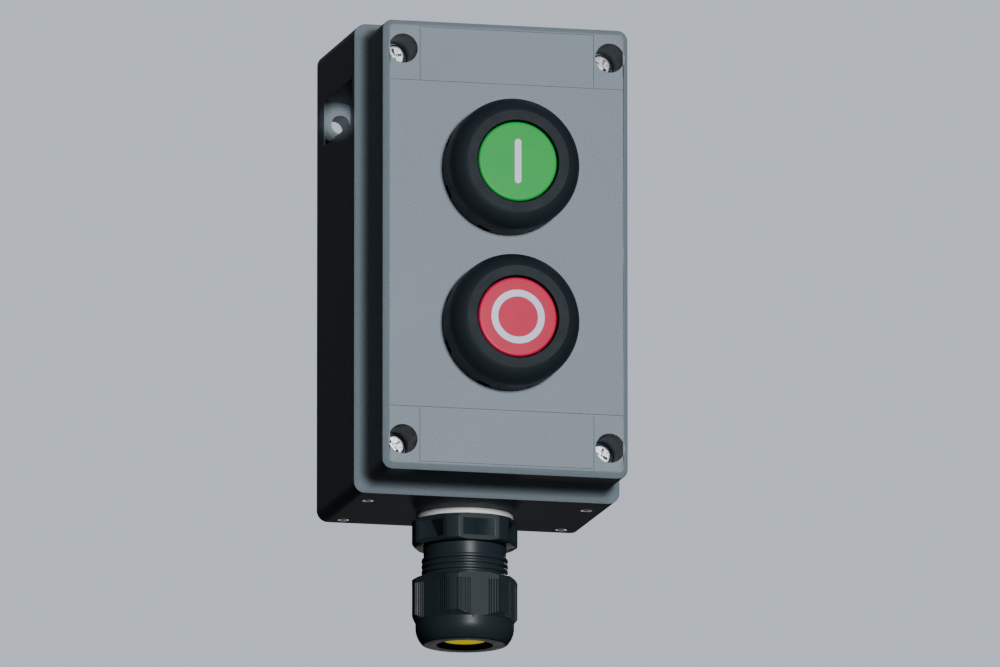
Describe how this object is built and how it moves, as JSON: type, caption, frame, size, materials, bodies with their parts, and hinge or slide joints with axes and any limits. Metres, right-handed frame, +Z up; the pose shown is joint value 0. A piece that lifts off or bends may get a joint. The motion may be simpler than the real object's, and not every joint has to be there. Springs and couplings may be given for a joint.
{
  "type": "push button control station",
  "caption": "Wall-mounted enclosure with a green start and a red stop push button behind round bezels, screwed cover, contact blocks inside and a cable gland in the bottom.",
  "frame": {"origin": "centre of the enclosure's back face, which lies on the wall", "axes": "+Z up, +X to the right seen from the front, the front with the buttons faces -Y, so +Y points into the wall"},
  "size_m": [0.08, 0.0872, 0.1788],
  "materials": {
    "bezel_plastic": "satin moulded",
    "brass": "bare",
    "bright_steel": "nickel plated",
    "contact_plastic": "moulded",
    "gland_plastic": "satin moulded",
    "green_cap": "smooth",
    "housing_plastic": "moulded fine grain",
    "plunger_plastic": "moulded",
    "red_cap": "smooth",
    "seal_rubber": "matte",
    "spring_steel": "drawn wire",
    "symbol_inlay": "smooth",
    "white_seal": "smooth",
    "yellow_plug": "smooth"
  },
  "bodies": {
    "housing": {"base_housing": "housing_plastic", "screw_inserts": "brass", "bottom_inserts": "bright_steel", "contact_rail": "bright_steel", "rail_screws": "bright_steel", "earth_terminal": "brass", "earth_screws": "bright_steel", "gland_body": "gland_plastic", "gland_washer": "white_seal", "gland_lock_nut": "gland_plastic", "gland_seal_bush": "seal_rubber", "gland_dust_plug": "yellow_plug", "on_contact_housing": "contact_plastic", "on_fixed_contacts": "brass", "on_terminal_screws": "bright_steel", "on_contact_lid": "contact_plastic", "off_contact_housing": "contact_plastic", "off_fixed_contacts": "brass", "off_terminal_screws": "bright_steel", "off_contact_lid": "contact_plastic"},
    "cover": {"front_cover": "housing_plastic", "cover_gasket": "seal_rubber", "cover_screws": "bright_steel", "captive_washers": "seal_rubber", "on_bezel_ring": "bezel_plastic", "on_guide_sleeve": "bezel_plastic", "on_panel_seal": "seal_rubber", "on_diaphragm": "seal_rubber", "on_lock_washer": "bright_steel", "on_lock_nut": "bezel_plastic", "off_bezel_ring": "bezel_plastic", "off_guide_sleeve": "bezel_plastic", "off_panel_seal": "seal_rubber", "off_diaphragm": "seal_rubber", "off_lock_washer": "bright_steel", "off_lock_nut": "bezel_plastic"},
    "gland_nut": {"gland_dome_nut": "gland_plastic"},
    "button_on": {"on_button_cap": "green_cap", "on_button_stem": "contact_plastic", "on_stem_clip": "bright_steel", "on_return_spring": "spring_steel", "on_symbol": "symbol_inlay"},
    "contact_on": {"on_plunger": "plunger_plastic", "on_bridge_contact": "brass", "on_contact_spring": "spring_steel"},
    "button_off": {"off_button_cap": "red_cap", "off_button_stem": "contact_plastic", "off_stem_clip": "bright_steel", "off_return_spring": "spring_steel", "off_symbol": "symbol_inlay"},
    "contact_off": {"off_plunger": "plunger_plastic", "off_bridge_contact": "brass", "off_contact_spring": "spring_steel"}
  },
  "joints": [
    {"name": "cover_lift", "type": "slide", "parent": "housing", "child": "cover", "axis": [0, -1, 0], "range_m": [0, 0.06]},
    {"name": "gland_nut_turn", "type": "hinge", "parent": "housing", "child": "gland_nut", "pos_m": [0, -0.0205, -0.0894], "axis": [0, 0, 1], "continuous": true},
    {"name": "button_on_press", "type": "slide", "parent": "cover", "child": "button_on", "axis": [0, 1, 0], "range_m": [0, 0.004], "stiffness_N_per_m": 900, "springref_m": -0.004, "deforming": ["on_return_spring", "on_diaphragm"]},
    {"name": "contact_on_travel", "type": "slide", "parent": "housing", "child": "contact_on", "axis": [0, 1, 0], "range_m": [0, 0.004], "stiffness_N_per_m": 250, "springref_m": -0.003, "deforming": ["on_contact_spring"]},
    {"name": "button_off_press", "type": "slide", "parent": "cover", "child": "button_off", "axis": [0, 1, 0], "range_m": [0, 0.004], "stiffness_N_per_m": 900, "springref_m": -0.004, "deforming": ["off_return_spring", "off_diaphragm"]},
    {"name": "contact_off_travel", "type": "slide", "parent": "housing", "child": "contact_off", "axis": [0, 1, 0], "range_m": [0, 0.004], "stiffness_N_per_m": 250, "springref_m": -0.003, "deforming": ["off_contact_spring"]}
  ],
  "couplings": [
    {"joint": "contact_on_travel", "follows": "button_on_press", "ratio": 1},
    {"joint": "contact_off_travel", "follows": "button_off_press", "ratio": 1}
  ]
}
